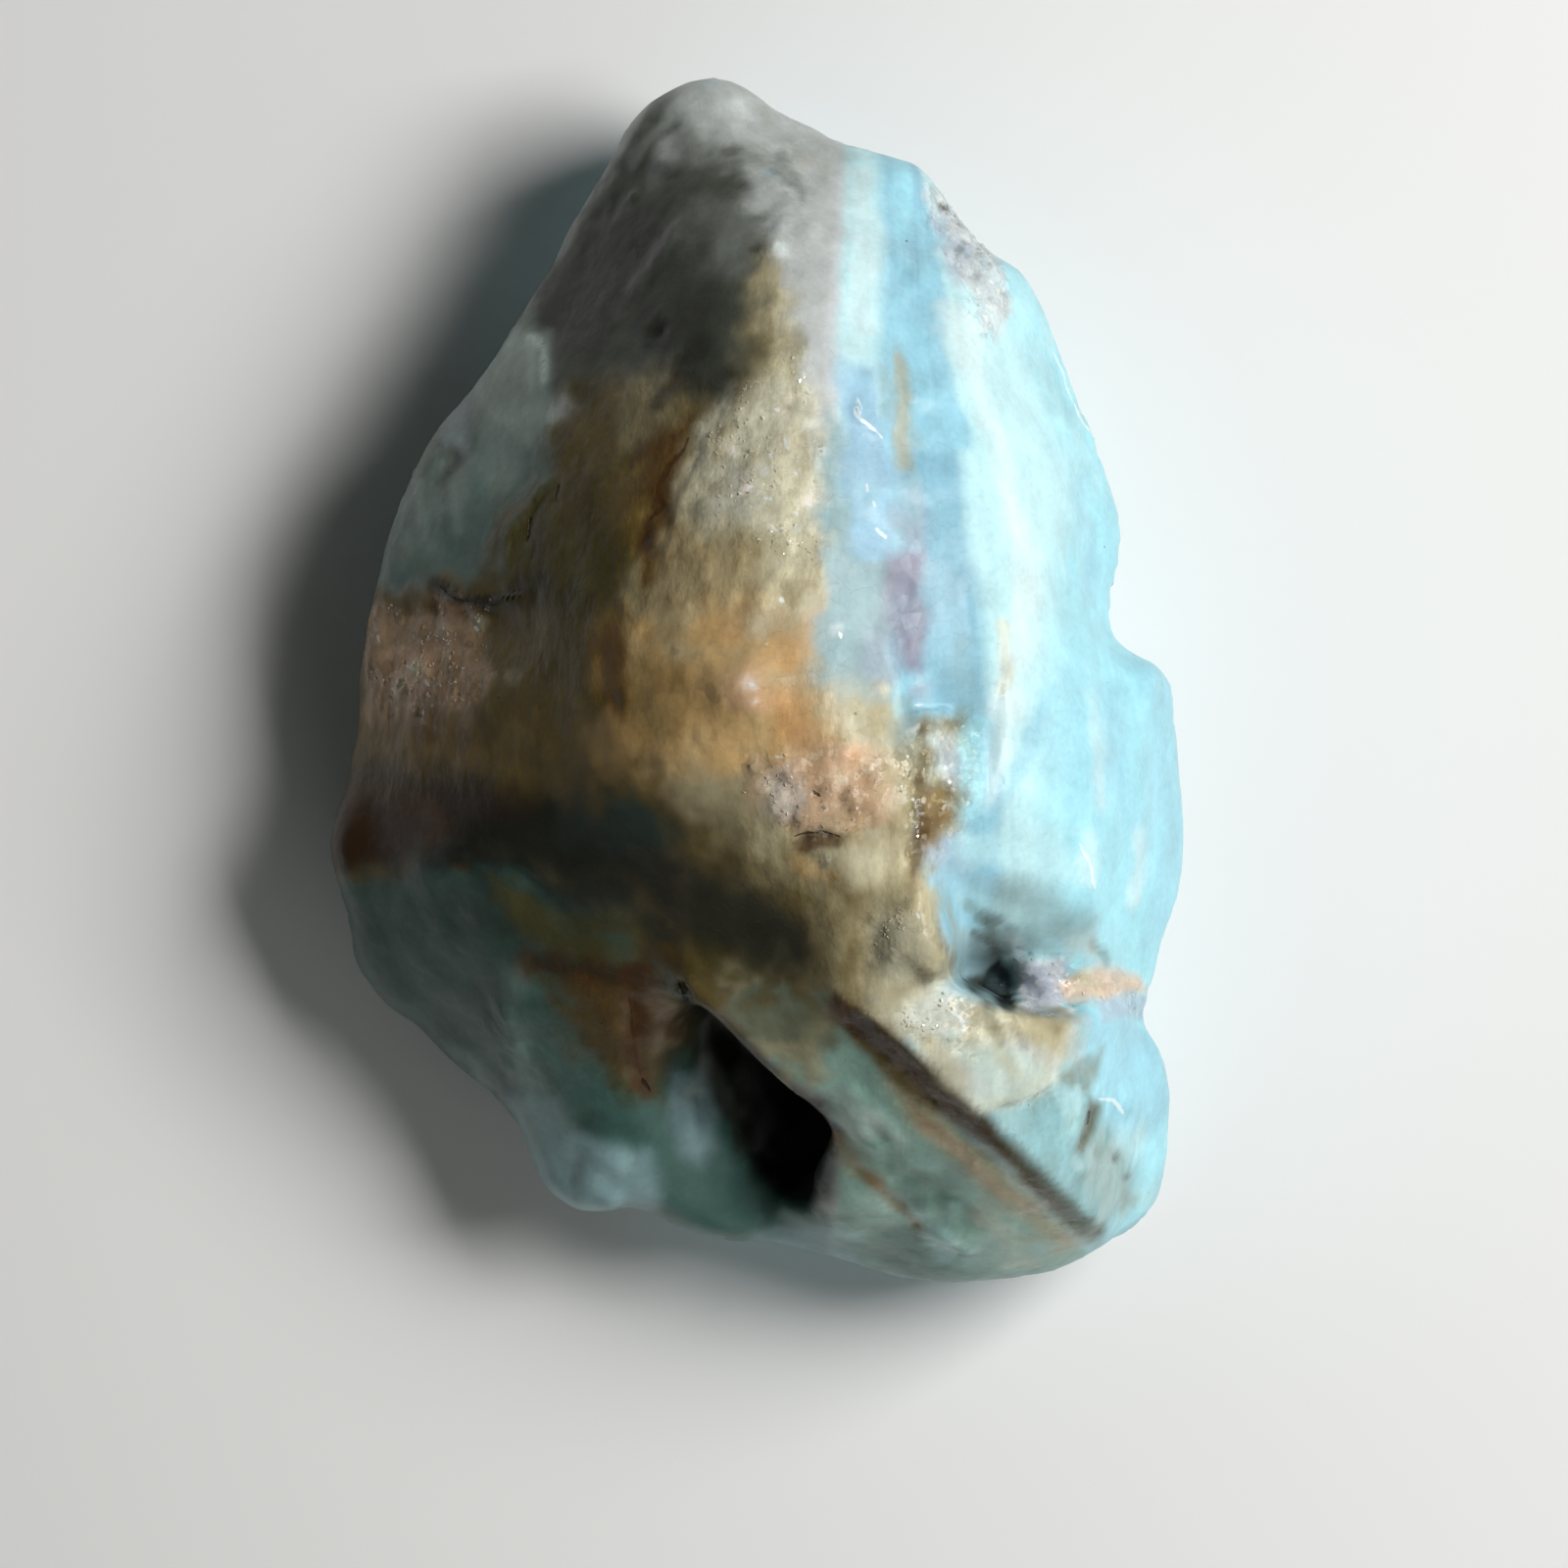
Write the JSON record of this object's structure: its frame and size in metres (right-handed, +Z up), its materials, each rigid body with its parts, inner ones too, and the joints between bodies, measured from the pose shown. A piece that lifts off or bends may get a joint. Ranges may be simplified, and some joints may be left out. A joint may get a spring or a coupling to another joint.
{
  "type": "raw amazonite",
  "caption": "Rough chunk of pale blue-green amazonite lying on its back, with rusty brown stains, a diagonal groove and a deep dark hollow.",
  "frame": {"origin": "on the ground, under the middle of the stone's box", "axes": "+Z up, out of the broken front; +Y towards the narrow peak; +X towards the aqua side"},
  "size_m": [0.0544, 0.0772, 0.0368],
  "materials": {
    "amazonite": "rough broken feldspar with a waxy lustre, banded aqua and white, smoky grey and rust-stained on one side"
  },
  "bodies": {
    "root": {"amazonite": "amazonite"}
  },
  "joints": []
}
